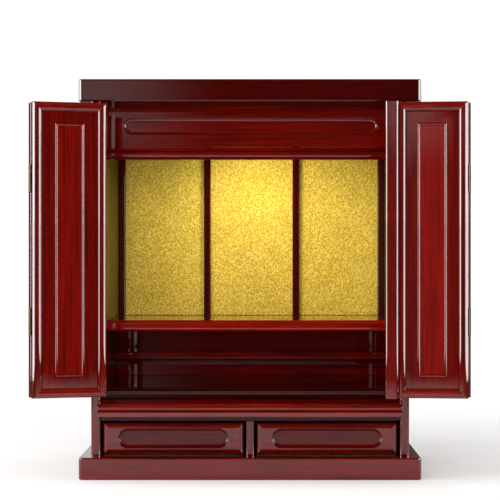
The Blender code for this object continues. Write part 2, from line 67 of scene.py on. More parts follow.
# Rounds and hinge parts that the solids hold as facets, in metres
SHELF_ROUND = 0.0042
LEDGE_ROUND = 0.0022
PANEL_ROUND = 0.003
PARTITION_ROUND = 0.0022
GROOVE_LEVEL = 0.0231  # middle of the header's groove, above the panel's foot
HINGE_LENGTH = 0.0288
HINGE_END_INSET = 0.0807
KNUCKLE_RADIUS = 0.0016
KNUCKLE_GAP = 0.0003
KNUCKLE_COUNT = 3
PIN_OFFSET = 0.0020
PLATE_GAP = 0.0004
PLATE_THICKNESS = 0.0007
PLATE_WIDTH = 0.0085

# Pin heads and screws, in metres or as shares of the plate
PIN_HEAD_RADIUS = 0.0011
PIN_HEAD_HEIGHT = 0.0005
SCREW_RADIUS = 0.0011
SCREW_RISE = 0.0002
SCREW_LEVELS = (0.2, 0.8)
SCREW_ACROSS = 0.55

# Fine edges, lips and coves, in metres
SIDE_BACK_ARRIS = 0.0006
VENEER_ARRIS = 0.0004
RAIL_ARRIS = 0.0008
LOWER_PANEL_ARRIS = 0.0003
PAPER_ARRIS = 0.0002
POST_ROUND = 0.0016
DRAWER_BOARD_ARRIS = 0.0004
RECESS_LIP = 0.0006
RECESS_COVE = 0.0026
RECESS_SPREAD = 0.0034
FIELD_START = 0.0003  # a leaf's field begins this far inside its frame
PLATE_ARRIS = 0.00015
TAB_ARRIS = 0.0001

# How shapes are picked, cut and shaded
SHADE_ANGLE = math.radians(42)
OVERSHOOT = 0.001
SAME_PLACE = 2e-5
UPRIGHT_LENGTH = 0.001  # an upright edge is longer than this
FACING = 0.9  # a face points along an axis when its normal's part is past this
ROUND_END_POINTS = 64
LEAST_INSET = 0.00001

# Patterns as repeats a metre, with the size of one repeat
FILM_WAVES = 70.0  # 14 mm
PLY_GRAIN = 280.0  # 3.6 mm
PAULOWNIA_GRAIN = 330.0  # 3 mm
LEAF_CLOUDS = 45.0  # 22 mm
PATINA_SPOTS = 900.0  # 1.1 mm
FLOOR_CLOUDS = 3.0  # 330 mm

# Wood and lacquer
GRAIN_STRETCH = 0.028  # a grain line's width as a share of its length
WOOD_IOR = 1.5
LACQUER_IOR = 1.5

# The stage, in metres; the left side mirrors places on the right
SOFTBOX_PLACE = (1.55, -0.75, 1.0)
SOFTBOX_AIM = (0.0, 0.0, 0.2)
SOFTBOX_SIZE = (1.3, 1.5)
GLOSS_SIDE = 1.3
GLOSS_LEVEL = 0.62
GLOSS_HEIGHT = 1.2
# Kind, front end, back end and brightness of the panels that only the gloss shows
GLOSS_PANELS = {
    "left": (("main", -1.0, 0.25, 1.0), ("soft", -1.38, -1.0, 0.45)),
    "right": (("main", -1.3, 0.25, 0.9), ("soft", -1.9, -1.3, 0.36)),
}
WHITE = (1.0, 1.0, 1.0)
WARM_WHITE = (1.0, 0.97, 0.8)
BACKDROP_STRENGTH = 1.05
LEAST_GLOSS = 0.03
FLOOR_SIZE = 6.0
FLOOR_FRONT = 0.35  # the floor's fade is centred this far before the origin
FLOOR_FADE = (0.5, 1.2)
SENSOR_WIDTH = 36.0
CAMERA_SHIFT = (-0.0296, 0.012)


def linear(hex_colour):
    """Linear colour with alpha from an sRGB hex value."""
    parts = [int(hex_colour[i : i + 2], 16) / 255 for i in (1, 3, 5)]
    return [p / 12.92 if p <= 0.04045 else ((p + 0.055) / 1.055) ** 2.4 for p in parts] + [1.0]


def colour_setting(name, description, hex_colour):
    return bpy.props.FloatVectorProperty(
        name=name,
        description=description,
        default=linear(hex_colour),
        size=4,
        min=0.0,
        max=1.0,
        subtype="COLOR",
    )


def length_setting(name, description, metres):
    return bpy.props.FloatProperty(
        name=name,
        description=description,
        default=metres,
        min=0.0,
        precision=5,
        subtype="DISTANCE",
        unit="LENGTH",
    )


def number_setting(name, description, value):
    return bpy.props.FloatProperty(name=name, description=description, default=value, min=0.0)


class AltarLacquerSettings(bpy.types.PropertyGroup):
    """Stained hardwood under polished lacquer."""

    light: colour_setting("Light streak", "Lightest streak of the red stain", "#8E1106")
    middle: colour_setting("Ground", "Main colour of the red stain", "#760B04")
    dark: colour_setting("Dark streak", "Darkest streak and open pores", "#560803")
    grain: length_setting("Grain width", "Distance between fine grain lines", 0.0010)
    figure: length_setting("Figure width", "Width of the broad colour bands", 0.018)
    coat_roughness: number_setting("Lacquer roughness", "Roughness of the top coat", 0.03)


class AltarGoldSettings(bpy.types.PropertyGroup):
    """Crinkled imitation gold leaf on paper."""

    light: colour_setting("Light gold", "Raised fibres of the leaf", "#FFE974")
    dark: colour_setting("Deep gold", "Hollows between the fibres", "#CFA11B")
    fibre: length_setting("Fibre width", "Width of the crinkles", 0.0007)
    roughness: number_setting("Roughness", "Roughness of the leaf", 0.5)


class AltarMouldingSettings(bpy.types.PropertyGroup):
    """Roundings and reliefs of the mouldings."""

    board_corner: length_setting("Board corner", "Upright corners of plinth and top", 0.0045)
    board_arris: length_setting("Board arris", "Level edges of plinth and top", 0.0018)
    frame_width: length_setting("Frame width", "Face width of a door frame", 0.0105)
    frame_outer: length_setting("Frame outer round", "Outer edge of a door frame", 0.0050)
    frame_inner: length_setting("Frame inner round", "Inner edge of a door frame", 0.0046)
    field_sink: length_setting("Field depth", "How far the door panel lies back", 0.0042)
    bead_width: length_setting("Bead width", "Bead of the panel's rectangle", 0.0030)
    bead_rise: length_setting("Bead rise", "Height of that bead", 0.0013)
    bead_span: length_setting("Bead rectangle width", "Outer width of the rectangle", 0.0315)
    bead_end: length_setting("Bead end margin", "From frame to rectangle, above and below", 0.0115)
    drawer_round: length_setting("Drawer edge", "Round edge of a drawer front", 0.0042)
    drawer_spread: length_setting("Drawer edge width", "That round, seen from the front", 0.0060)
    recess_length: length_setting("Recess length", "Finger recess, end to end", 0.1195)
    recess_height: length_setting("Recess height", "Finger recess, top to bottom", 0.0205)
    recess_depth: length_setting("Recess depth", "Finger recess", 0.0039)
    groove_length: length_setting("Header groove length", "End to end", 0.2834)
    groove_height: length_setting("Header groove height", "Top to bottom", 0.0180)
    groove_depth: length_setting("Header groove depth", "Into the header", 0.0034)


class AltarStageSettings(bpy.types.PropertyGroup):
    """Light, floor and camera."""

    side_light: number_setting("Side light", "Power of the left softbox, in watts", 31.0)
    even_light: number_setting("Even light", "Strength of the soft light from all around", 0.42)
    gloss_light: number_setting("Gloss light", "Gloss panels' power, in watts a metre", 60.0)
    right_share: number_setting("Right share", "Right softbox as a share of the left one", 0.4)
    front_light: number_setting("Front light", "Power of the fill from the front, in watts", 15.0)
    top_light: number_setting("Top light", "Power of the overhead softbox, in watts", 17.0)
    niche_light: number_setting("Niche light", "Power of the lamp in the niche, in watts", 0.24)
    floor: colour_setting("Floor", "Pale matt floor", "#ECEAE9")
    lens: number_setting("Lens", "Focal length in millimetres", 106.6)
    camera_distance: length_setting("Camera distance", "From the origin", 1.705)
    camera_side: length_setting("Camera side", "To the right of the middle", 0.016)
    camera_height: length_setting("Camera height", "Above the floor", 0.2416)


SETTING_GROUPS = {
    "altar_lacquer": AltarLacquerSettings,
    "altar_gold": AltarGoldSettings,
    "altar_moulding": AltarMouldingSettings,
    "altar_stage": AltarStageSettings,
}


def settings(group):
    return getattr(bpy.context.scene, group)


# Nodes and materials


def add_node(tree, kind, links=(), operation=None, **values):
    """Adds a node, sets its inputs or its own options, and links outputs into its inputs."""
    node = tree.nodes.new(kind)
    if operation is not None:
        node.operation = operation
    for name, value in values.items():
        key = name.replace("_", " ").title() if name[0].islower() else name
        if key in node.inputs:
            node.inputs[key].default_value = value
        else:
            setattr(node, name, value)
    for key, output in links:
        tree.links.new(output, node.inputs[key])
    return node


def new_material(name):
    material = bpy.data.materials.new(name)
    material.use_nodes = True
    tree = material.node_tree
    return material, tree, tree.nodes["Principled BSDF"]


def set_ramp(node, stops, depth=1.0):
    """Sets a ramp's (place, colour) stops, darkened by depth where that is below 1."""
    ramp = node.color_ramp
    while len(ramp.elements) < len(stops):
        ramp.elements.new(0.5)
    for element, (place, colour) in zip(ramp.elements, stops):
        element.position = place
        element.color = [part * depth for part in colour[:3]] + [1.0]


def lacquered_wood(name, along, depth=1.0, coat=1.0):
    """Red-stained hardwood under polished polyester lacquer; depth below 1 is a darker board, and
    for some makers a painted shade or glow; a coat below 1 dims the gloss as painted shade.

    Fine straight grain and broad bands run along one axis, the lines coarser than real ones
    so that they show. The clear coat above them is smooth, with the faint waviness of a
    sprayed and buffed film, so edges shine white and flats stay deep.
    """
    look = settings("altar_lacquer")
    material, tree, shader = new_material(name)
    place = add_node(tree, "ShaderNodeTexCoord").outputs["Object"]
    stretch = [1.0, 1.0, 1.0]
    stretch["XYZ".index(along)] = GRAIN_STRETCH

    def grain(width, detail, roughness, distortion):
        mapped = add_node(tree, "ShaderNodeMapping", [("Vector", place)], scale=stretch)
        return add_node(
            tree,
            "ShaderNodeTexNoise",
            [("Vector", mapped.outputs["Vector"])],
            Scale=1.0 / width,
            Detail=detail,
            Roughness=roughness,
            Distortion=distortion,
        ).outputs["Fac"]

    band_share, line_share, pore_share = 0.35, 0.65, 0.85
    line_to_pore = 2.2
    bands = grain(look.figure, detail=3.0, roughness=0.55, distortion=0.6)
    lines = grain(look.grain * line_to_pore, detail=4.0, roughness=0.6, distortion=0.0)
    pores = grain(look.grain, detail=2.0, roughness=0.5, distortion=0.0)
    streaks = add_node(tree, "ShaderNodeMath", [(0, lines)], operation="MULTIPLY")
    streaks.inputs[1].default_value = line_share
    mixed = add_node(
        tree,
        "ShaderNodeMath",
        [(0, bands), (2, streaks.outputs[0])],
        operation="MULTIPLY_ADD",
    )
    mixed.inputs[1].default_value = band_share
    tone = add_node(tree, "ShaderNodeValToRGB", [("Fac", mixed.outputs[0])])
    set_ramp(tone, [(0.36, look.dark), (0.50, look.middle), (0.66, look.light)], depth)
    pore_mask = add_node(tree, "ShaderNodeValToRGB", [("Fac", pores)])
    set_ramp(pore_mask, [(0.30, (0.7, 0.7, 0.7, 1.0)), (0.44, (1.0, 1.0, 1.0, 1.0))])
    stained = add_node(tree, "ShaderNodeMix", data_type="RGBA", blend_type="MULTIPLY")
    stained.inputs["Factor"].default_value = pore_share
    tree.links.new(tone.outputs["Color"], stained.inputs[6])
    tree.links.new(pore_mask.outputs["Color"], stained.inputs[7])
    tree.links.new(stained.outputs[2], shader.inputs["Base Color"])
    rough = add_node(tree, "ShaderNodeMapRange", [("Value", lines)], to_min=0.38, to_max=0.55)
    tree.links.new(rough.outputs["Result"], shader.inputs["Roughness"])
    wave = add_node(tree, "ShaderNodeTexNoise", [("Vector", place)], Scale=FILM_WAVES, Detail=1.0)
    film = add_node(
        tree,
        "ShaderNodeBump",
        [("Height", wave.outputs["Fac"])],
        strength=0.012,
        distance=0.0004,
    )
    tree.links.new(film.outputs["Normal"], shader.inputs["Coat Normal"])
    shader.inputs["IOR"].default_value = WOOD_IOR
    shader.inputs["Specular IOR Level"].default_value = 0.0
    shader.inputs["Coat Weight"].default_value = coat
    shader.inputs["Coat Roughness"].default_value = look.coat_roughness
    shader.inputs["Coat IOR"].default_value = LACQUER_IOR
    return material


def open_grain(name, stretch, repeats, detail, fineness, stops, relief, roughness):
    """Wood with its pores open to the air: one grain gives the tone and the relief."""
    material, tree, shader = new_material(name)
    place = add_node(tree, "ShaderNodeTexCoord").outputs["Object"]
    mapped = add_node(tree, "ShaderNodeMapping", [("Vector", place)], scale=stretch)
    grain = add_node(
        tree,
        "ShaderNodeTexNoise",
        [("Vector", mapped.outputs["Vector"])],
        Scale=repeats,
        Detail=detail,
        Roughness=fineness,
    ).outputs["Fac"]
    tone = add_node(tree, "ShaderNodeValToRGB", [("Fac", grain)])
    set_ramp(tone, stops)
    tree.links.new(tone.outputs["Color"], shader.inputs["Base Color"])
    pores = add_node(
        tree,
        "ShaderNodeBump",
        [("Height", grain)],
        strength=relief,
        distance=0.0002,
    )
    tree.links.new(pores.outputs["Normal"], shader.inputs["Normal"])
    shader.inputs["Roughness"].default_value = roughness
    shader.inputs["IOR"].default_value = WOOD_IOR
    return material


def backing_wood(name):
    """Stained plywood backing under a thin satin coat, plainer and duller than the front."""
    look = settings("altar_lacquer")
    return open_grain(
        name,
        stretch=(1.0, 1.0, 0.05),
        repeats=PLY_GRAIN,
        detail=6.0,
        fineness=0.7,
        stops=[(0.3, look.dark), (0.75, look.middle)],
        relief=0.25,
        roughness=0.42,
    )


def plain_wood(name):
    """Planed pale paulownia of a drawer's box, unfinished, with soft straight grain."""
    hollow, ground, ridge = linear("#A67C50"), linear("#C9A172"), linear("#DDBB8F")
    return open_grain(
        name,
        stretch=(1.0, 0.04, 1.0),
        repeats=PAULOWNIA_GRAIN,
        detail=4.0,
        fineness=0.6,
        stops=[(0.32, hollow), (0.55, ground), (0.75, ridge)],
        relief=0.2,
        roughness=0.62,
    )


def gold_leaf(name, depth=1.0):
    """Imitation gold leaf on crinkled paper: short raised fibres in all directions glitter.

    Each is drawn four times as long as it is wide, and coarser than a real one so that it
    shows. Depth below 1 darkens the leaf, as painted shade on the side linings.
    """
    look = settings("altar_gold")
    material, tree, shader = new_material(name)
    place = add_node(tree, "ShaderNodeTexCoord").outputs["Object"]
    height = None
    width_to_length = 0.25
    for degrees in (18, 66, 112, 155):
        turned = add_node(
            tree,
            "ShaderNodeMapping",
            [("Vector", place)],
            location=(degrees, degrees, degrees),
            rotation=(0.0, math.radians(degrees), 0.0),
        )
        squeezed = add_node(
            tree,
            "ShaderNodeMapping",
            [("Vector", turned.outputs["Vector"])],
            scale=(1.0, 1.0, width_to_length),
        )
        noise = add_node(
            tree,
            "ShaderNodeTexNoise",
            [("Vector", squeezed.outputs["Vector"])],
            Scale=1.0 / look.fibre,
            Detail=0.0,
        ).outputs["Fac"]
        if height is not None:
            both = [(0, height), (1, noise)]
            noise = add_node(tree, "ShaderNodeMath", both, operation="MAXIMUM").outputs[0]
        height = noise
    height = add_node(
        tree,
        "ShaderNodeMapRange",
        [("Value", height)],
        from_min=0.58,
        from_max=0.74,
    ).outputs["Result"]
    cloud = add_node(
        tree, "ShaderNodeTexNoise", [("Vector", place)], Scale=LEAF_CLOUDS, Detail=3.0
    ).outputs["Fac"]
    tone = add_node(tree, "ShaderNodeValToRGB", [("Fac", height)])
    set_ramp(tone, [(0.0, look.dark), (1.0, look.light)], depth)
    soft = add_node(tree, "ShaderNodeMapRange", [("Value", cloud)], to_min=0.8, to_max=1.1)
    shaded = add_node(tree, "ShaderNodeVectorMath", [(0, tone.outputs["Color"])], operation="SCALE")
    tree.links.new(soft.outputs["Result"], shaded.inputs["Scale"])
    tree.links.new(shaded.outputs["Vector"], shader.inputs["Base Color"])
    crinkle = add_node(
        tree,
        "ShaderNodeBump",
        [("Height", height)],
        strength=0.6,
        distance=0.0004,
    )
    tree.links.new(crinkle.outputs["Normal"], shader.inputs["Normal"])
    shader.inputs["Metallic"].default_value = 0.15
    shader.inputs["Specular IOR Level"].default_value = 0.05
    shader.inputs["Roughness"].default_value = look.roughness
    return material


def darkened_brass(name):
    """Rolled brass darkened with age, with a mottled patina."""
    material, tree, shader = new_material(name)
    place = add_node(tree, "ShaderNodeTexCoord").outputs["Object"]
    mottle = add_node(
        tree, "ShaderNodeTexNoise", [("Vector", place)], Scale=PATINA_SPOTS, Detail=4.0
    ).outputs["Fac"]
    tone = add_node(tree, "ShaderNodeValToRGB", [("Fac", mottle)])
    set_ramp(tone, [(0.35, linear("#1E1812")), (0.65, linear("#3F3424"))])
    tree.links.new(tone.outputs["Color"], shader.inputs["Base Color"])
    rough = add_node(tree, "ShaderNodeMapRange", [("Value", mottle)], to_min=0.22, to_max=0.45)
    tree.links.new(rough.outputs["Result"], shader.inputs["Roughness"])
    shader.inputs["Metallic"].default_value = 1.0
    return material


MAKERS = {
    "lacquer_upright_grain": lambda name: lacquered_wood(name, "Z", 0.62),
    "lacquer_stile_grain": lambda name: lacquered_wood(name, "Z", 0.42),
    # A darker, duller copy of the lacquer for the drawers' recess faces: painted shade.
    "lacquer_recess_shade_grain": lambda name: lacquered_wood(name, "X", 0.34, 0.55),
    # A brighter copy of the lacquer for the upper shelf: a painted reflection of the lit gold.
    "lacquer_lit_grain": lambda name: lacquered_wood(name, "X", 0.95),
    "lacquer_level_grain": lambda name: lacquered_wood(name, "X", 0.55),
    "lacquer_plinth_grain": lambda name: lacquered_wood(name, "X", 0.5),
    # A darker, duller copy of the lacquer for the tray rail and the deck's front: painted shade
    # under the pull-out board.
    "lacquer_shaded_grain": lambda name: lacquered_wood(name, "X", 0.12, 0.35),
    "lacquer_dark_grain": lambda name: lacquered_wood(name, "X", 0.17),
    "lacquer_post_grain": lambda name: lacquered_wood(name, "Z", 0.22),
    "satin_backing_wood": backing_wood,
    "planed_paulownia": plain_wood,
    "crinkled_gold_leaf": gold_leaf,
    # A darker leaf for the side linings: painted shade.
    "shaded_gold_leaf": lambda name: gold_leaf(name, 0.25),
    "darkened_brass": darkened_brass,
}


def material_named(name):
    """The material of that name, made the first time it is asked for."""
    return bpy.data.materials.get(name) or MAKERS[name](name)


# Modelling


def deselect_all():
    if bpy.context.object and bpy.context.object.mode != "OBJECT":
        bpy.ops.object.mode_set(mode="OBJECT")
    bpy.ops.object.select_all(action="DESELECT")


def named(name):
    obj = bpy.context.object
    obj.name = name
    obj.data.name = name
    return obj


def add_block(name, low, high):
    """A block between two corners, as an editable mesh at the origin."""
    deselect_all()
    low, high = Vector(low), Vector(high)
    bpy.ops.mesh.primitive_cube_add(size=1, location=(low + high) / 2, scale=high - low)
    obj = named(name)
    bpy.ops.object.transform_apply(location=True, rotation=True, scale=True)
    return obj


def pick(obj, kind, test):
    """Opens the mesh and selects the edges or faces that pass the test."""
    bpy.ops.object.mode_set(mode="EDIT")
    bpy.ops.mesh.select_mode(type=kind)
    bpy.ops.mesh.select_all(action="DESELECT")
    shape = bmesh.from_edit_mesh(obj.data)
    for item in shape.edges if kind == "EDGE" else shape.faces:
        if test(item):
            item.select_set(True)
    shape.select_flush_mode()
    bmesh.update_edit_mesh(obj.data)


def close_mesh():
    bpy.ops.object.mode_set(mode="OBJECT")


def ends(edge):
    return edge.verts[0].co, edge.verts[1].co


def near(a, b):
    return abs(a - b) < SAME_PLACE


def bevel_edges(obj, test, width, segments):
    pick(obj, "EDGE", test)
    bpy.ops.mesh.bevel(offset=width, segments=segments, profile=0.5, affect="EDGES")
    close_mesh()


def sharpen_mitres(obj):
    """Keeps a moulded frame's mitres crisp, so its level edges don't borrow the light of its
    upright ones."""
    least_tilt = 0.02
    most_alike = 0.5

    def on_mitre(edge):
        if len(edge.link_faces) != 2:
            return False
        tilts = [Vector((face.normal.x, face.normal.z)) for face in edge.link_faces]
        if min(tilt.length for tilt in tilts) < least_tilt:
            return False
        return abs(tilts[0].normalized().dot(tilts[1].normalized())) < most_alike

    pick(obj, "EDGE", on_mitre)
    bpy.ops.mesh.mark_sharp()
    close_mesh()


def level_with(axis, value):
    """A test for edges that lie in the plane where that axis has that value."""
    return lambda edge: all(near(point[axis], value) for point in ends(edge))


def every(edge):
    """The test that all edges pass."""
    return True


def upright(edge):
    a, b = ends(edge)
    return abs(a.z - b.z) > UPRIGHT_LENGTH


def upright_edges_at(y):
    """A test for upright edges that stand at that depth."""
    return lambda edge: upright(edge) and level_with(1, y)(edge)


def inset(thickness, depth):
    bpy.ops.mesh.inset(thickness=thickness, depth=depth)


def arc(centre, radius, start_deg, end_deg, steps=8):
    """Points along a round stretch, in a plane's own two directions."""
    points = []
    for step in range(steps + 1):
        angle = math.radians(start_deg + (end_deg - start_deg) * step / steps)
        points.append((centre[0] + radius * math.cos(angle), centre[1] + radius * math.sin(angle)))
    return points


def inset_along(points):
    """Insets the picked face along a profile of (inwards, outwards) points."""
    for (across, out), (next_across, next_out) in zip(points, points[1:]):
        inset(next_across - across, next_out - out)


def inset_round(width, rise, steps):
    """Insets the picked face along a quarter round, steep at first and flat at the end."""
    inset_along([(width * (1 - c), rise * s) for c, s in arc((0, 0), 1.0, 0, 90, steps)])


def add_moulding(name, profile, axis, start, end):
    """A strip with this outline, run along X from a (y, z) profile or up Z from an (x, y) one."""
    deselect_all()
    bpy.ops.mesh.primitive_circle_add(vertices=len(profile), radius=0.01, fill_type="NGON")
    obj = named(name)
    for vertex, (a, b) in zip(obj.data.vertices, profile):
        vertex.co = (start, a, b) if axis == "X" else (a, b, start)
    run = (end - start, 0, 0) if axis == "X" else (0, 0, end - start)
    bpy.ops.object.mode_set(mode="EDIT")
    bpy.ops.mesh.select_all(action="SELECT")
    bpy.ops.mesh.extrude_region_move(TRANSFORM_OT_translate={"value": run})
    bpy.ops.mesh.select_all(action="SELECT")
    bpy.ops.mesh.normals_make_consistent(inside=False)
    close_mesh()
    return obj


def add_recess_cutter(name, size, face_y, centre, lip, cove, spread):
    """A round-ended block whose sides flare at the face and curve in at the floor.

    Its size is (length, height, depth). The lip is the flare, and the cove's curve is as high
    as its value and as wide as the spread.
    """
    length, height, depth = size
    deselect_all()
    bpy.ops.mesh.primitive_circle_add(
        vertices=ROUND_END_POINTS, radius=height / 2 + lip, fill_type="NGON"
    )
    obj = named(name)
    reach = (length - height) / 2
    for vertex in obj.data.vertices:
        x, z = vertex.co.x, vertex.co.y
        x += reach if x > 0 else -reach
        vertex.co = (centre[0] + x, face_y - OVERSHOOT, centre[1] + z)
    bpy.ops.object.mode_set(mode="EDIT")
    bpy.ops.mesh.select_all(action="SELECT")
    bpy.ops.mesh.extrude_region_move(TRANSFORM_OT_translate={"value": (0, OVERSHOOT, 0)})
    bpy.ops.mesh.select_mode(type="FACE")
    shape = bmesh.from_edit_mesh(obj.data)
    bmesh.ops.recalc_face_normals(shape, faces=shape.faces)
    floor = max(shape.faces, key=lambda face: face.calc_center_median().y)
    for face in shape.faces:
        face.select_set(face is floor)
    bmesh.update_edit_mesh(obj.data)
    inset_round(lip, lip, steps=4)
    inset(LEAST_INSET, max(depth - lip - cove, LEAST_INSET))
    inset_round(spread, cove, steps=7)
    bpy.ops.mesh.select_all(action="SELECT")
    bpy.ops.mesh.normals_make_consistent(inside=False)
    close_mesh()
    return obj


def cut(target, cutter):
    modifier = target.modifiers.new("recess", "BOOLEAN")
    modifier.operation = "DIFFERENCE"
    modifier.solver = "EXACT"
    modifier.object = cutter
    deselect_all()
    bpy.context.view_layer.objects.active = target
    target.select_set(True)
    bpy.ops.object.modifier_apply(modifier="recess")
    bpy.data.objects.remove(cutter, do_unlink=True)


def joined(objects, name):
    """One piece from several shells, with its own mesh."""
    deselect_all()
    for obj in objects:
        obj.select_set(True)
    bpy.context.view_layer.objects.active = objects[0]
    bpy.ops.object.join()
    return named(name)


def finish_piece(obj, body, nodes, materials, choose=None):
    """Smooths and finishes a piece, hides the solids it stands for and ties it to its body."""
    for name in materials:
        obj.data.materials.append(material_named(name))
    if choose:
        for face in obj.data.polygons:
            face.material_index = choose(face)
    deselect_all()
    obj.select_set(True)
    bpy.context.view_layer.objects.active = obj
    bpy.ops.object.shade_smooth_by_angle(angle=SHADE_ANGLE)
    modifier = obj.modifiers.new("even_flats", "WEIGHTED_NORMAL")
    modifier.keep_sharp = True
    bpy.ops.object.modifier_apply(modifier="even_flats")
    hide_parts(*nodes)
    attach(obj, body)
    return obj


def lacquer_piece(obj, body, node, grain="level"):
    return finish_piece(obj, body, [node], [f"lacquer_{grain}_grain"])


class AltarOperator(bpy.types.Operator):
    """Shared settings of this cabinet's operators."""

    bl_options = {"REGISTER", "UNDO"}


class ALTAR_OT_boards(AltarOperator):
    """Models the plinth and the top board."""

    bl_idname = "altar.boards"
    bl_label = "Plinth and top board"

    def execute(self, context):
        sizes = settings("altar_moulding")
        for node in ("plinth_board", "top_board"):
            low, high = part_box(node)
            obj = add_block(node + "_moulded", low, high)
            bevel_edges(obj, upright, sizes.board_corner, segments=8)
            for level in (low.z, high.z):
                bevel_edges(obj, level_with(2, level), sizes.board_arris, segments=5)
            lacquer_piece(obj, "cabinet", node, "dark" if node == "top_board" else "plinth")
        return {"FINISHED"}


class ALTAR_OT_case(AltarOperator):
    """Models the side panels, the back board, the drawer partition and the rail."""

    bl_idname = "altar.case"
    bl_label = "Case"

    def execute(self, context):
        for word, _ in SIDES:
            node = word + "_side_panel"
            low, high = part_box(node)
            obj = add_block(node + "_polished", low, high)
            bevel_edges(obj, upright_edges_at(low.y), PANEL_ROUND, segments=7)
            bevel_edges(obj, upright_edges_at(high.y), SIDE_BACK_ARRIS, segments=2)
            lacquer_piece(obj, "cabinet", node, "stile")
        low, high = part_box("back_board")
        back = add_block("back_board_veneered", low, high)
        bevel_edges(back, level_with(1, high.y), VENEER_ARRIS, segments=2)
        finish_piece(back, "cabinet", ["back_board"], ["satin_backing_wood"])
        low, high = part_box("drawer_partition")
        partition = add_block("drawer_partition_rounded", low, high)
        bevel_edges(partition, upright_edges_at(low.y), PARTITION_ROUND, segments=6)
        lacquer_piece(partition, "cabinet", "drawer_partition", "stile")
        low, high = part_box("tray_rail")
        rail = add_block("tray_rail_polished", low, high)
        bevel_edges(rail, level_with(1, low.y), RAIL_ARRIS, segments=3)
        # The rail's darker, duller lacquer is painted shade under the pull-out board.
        lacquer_piece(rail, "cabinet", "tray_rail", "shaded")
        return {"FINISHED"}


def front_rounded(low, high, radius):
    """A (y, z) profile of a board with two round front edges."""
    profile = [(high.y, low.z)]
    profile += arc((low.y + radius, low.z + radius), radius, 270, 180)
    profile += arc((low.y + radius, high.z - radius), radius, 180, 90)
    return profile + [(high.y, high.z)]


class ALTAR_OT_floors(AltarOperator):
    """Models the deck, the shelf, the low ledge and the lower back panel."""

    bl_idname = "altar.floors"
    bl_label = "Deck, shelf and ledge"

    def execute(self, context):
        low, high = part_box("deck")
        radius = 0.0013
        groove = 0.0009
        arris = 0.0004
        groove_arris = 0.0002
        front_tilt = -0.3
        bead_low = high.z - 2 * radius
        groove_low = bead_low - groove
        profile = [(high.y, low.z), (low.y + arris, low.z), (low.y, low.z + arris)]
        profile += [(low.y, groove_low - groove_arris), (low.y + groove_arris, groove_low)]
        profile += [(low.y + groove, bead_low)]
        profile += arc((low.y + radius, high.z - radius), radius, 235, 90, 9)
        profile += [(high.y, high.z)]
        deck = add_moulding("deck_beaded", profile, "X", low.x, high.x)
        # The deck's front faces take the darker, duller lacquer: painted shade behind the pull-out
        # board.
        finish_piece(
            deck,
            "cabinet",
            ["deck"],
            ["lacquer_dark_grain", "lacquer_shaded_grain"],
            lambda face: 1 if face.normal.y < front_tilt else 0,
        )
        for node, radius in (("upper_shelf", SHELF_ROUND), ("low_ledge", LEDGE_ROUND)):
            low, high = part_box(node)
            profile = front_rounded(low, high, radius)
            obj = add_moulding(node + "_rounded", profile, "X", low.x, high.x)
            # The shelf's brighter lacquer is a painted reflection of the lit gold.
            lacquer_piece(obj, "cabinet", node, "lit" if node == "upper_shelf" else "level")
        low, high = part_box("lower_back_panel")
        panel = add_block("lower_back_panel_polished", low, high)
        bevel_edges(panel, level_with(1, low.y), LOWER_PANEL_ARRIS, segments=2)
        lacquer_piece(panel, "cabinet", "lower_back_panel", "level")
        return {"FINISHED"}


class ALTAR_OT_header(AltarOperator):
    """Models the grooved header panel and the lintel moulding under it."""

    bl_idname = "altar.header"
    bl_label = "Header and lintel"

    def execute(self, context):
        sizes = settings("altar_moulding")
        low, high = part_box("header_panel")
        header = add_block("header_panel_grooved", low, high)
        cutter = add_recess_cutter(
            "header_groove_space",
            (sizes.groove_length, sizes.groove_height, sizes.groove_depth),
            low.y,
            (0.0, low.z + GROOVE_LEVEL),
            lip=0.0005,
            cove=0.0027,
            spread=0.0036,
        )
        cut(header, cutter)
        lacquer_piece(header, "cabinet", "header_panel")
        low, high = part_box("lintel_moulding")
        fillet = 0.0014
        arris = 0.0003
        quirk = 0.0002
        cove = 0.0026
        radius = (high.z - low.z - fillet) / 3
        middle = low.z + fillet + radius
        profile = [(high.y, low.z), (low.y + arris, low.z), (low.y, low.z + arris)]
        profile += [(low.y, low.z + fillet - quirk)]
        profile += arc((low.y + radius, middle), radius, 240, 110, 12)
        top = middle + radius
        profile += arc((low.y + quirk, top + cove), cove, -60, 0, 5)
        profile += [(low.y + quirk + cove, high.z - 2 * fillet)]
        profile += [(low.y + fillet, high.z - fillet)]
        profile += [(low.y + fillet, high.z), (high.y, high.z)]
        lintel = add_moulding("lintel_moulding_polished", profile, "X", low.x, high.x)
        lacquer_piece(lintel, "cabinet", "lintel_moulding")
        return {"FINISHED"}


class ALTAR_OT_gold(AltarOperator):
    """Models the gold panels of the niche and the slender posts before them."""

    bl_idname = "altar.gold"
    bl_label = "Gold niche"

    def execute(self, context):
        for node in ("gold_back_panel", "left_gold_lining", "right_gold_lining"):
            low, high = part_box(node)
            panel = add_block(node + "_papered", low, high)
            bevel_edges(panel, every, PAPER_ARRIS, segments=1)
            # The side linings take the darker leaf, as painted shade.
            leaf = "crinkled_gold_leaf" if node == "gold_back_panel" else "shaded_gold_leaf"
            finish_piece(panel, "cabinet", [node], [leaf])
        for node in ("middle_post_1", "middle_post_2", "left_corner_post", "right_corner_post"):
            low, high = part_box(node)
            post = add_block(node + "_rounded", low, high)
            bevel_edges(post, upright_edges_at(low.y), POST_ROUND, segments=5)
            lacquer_piece(post, "cabinet", node, "post")
        return {"FINISHED"}


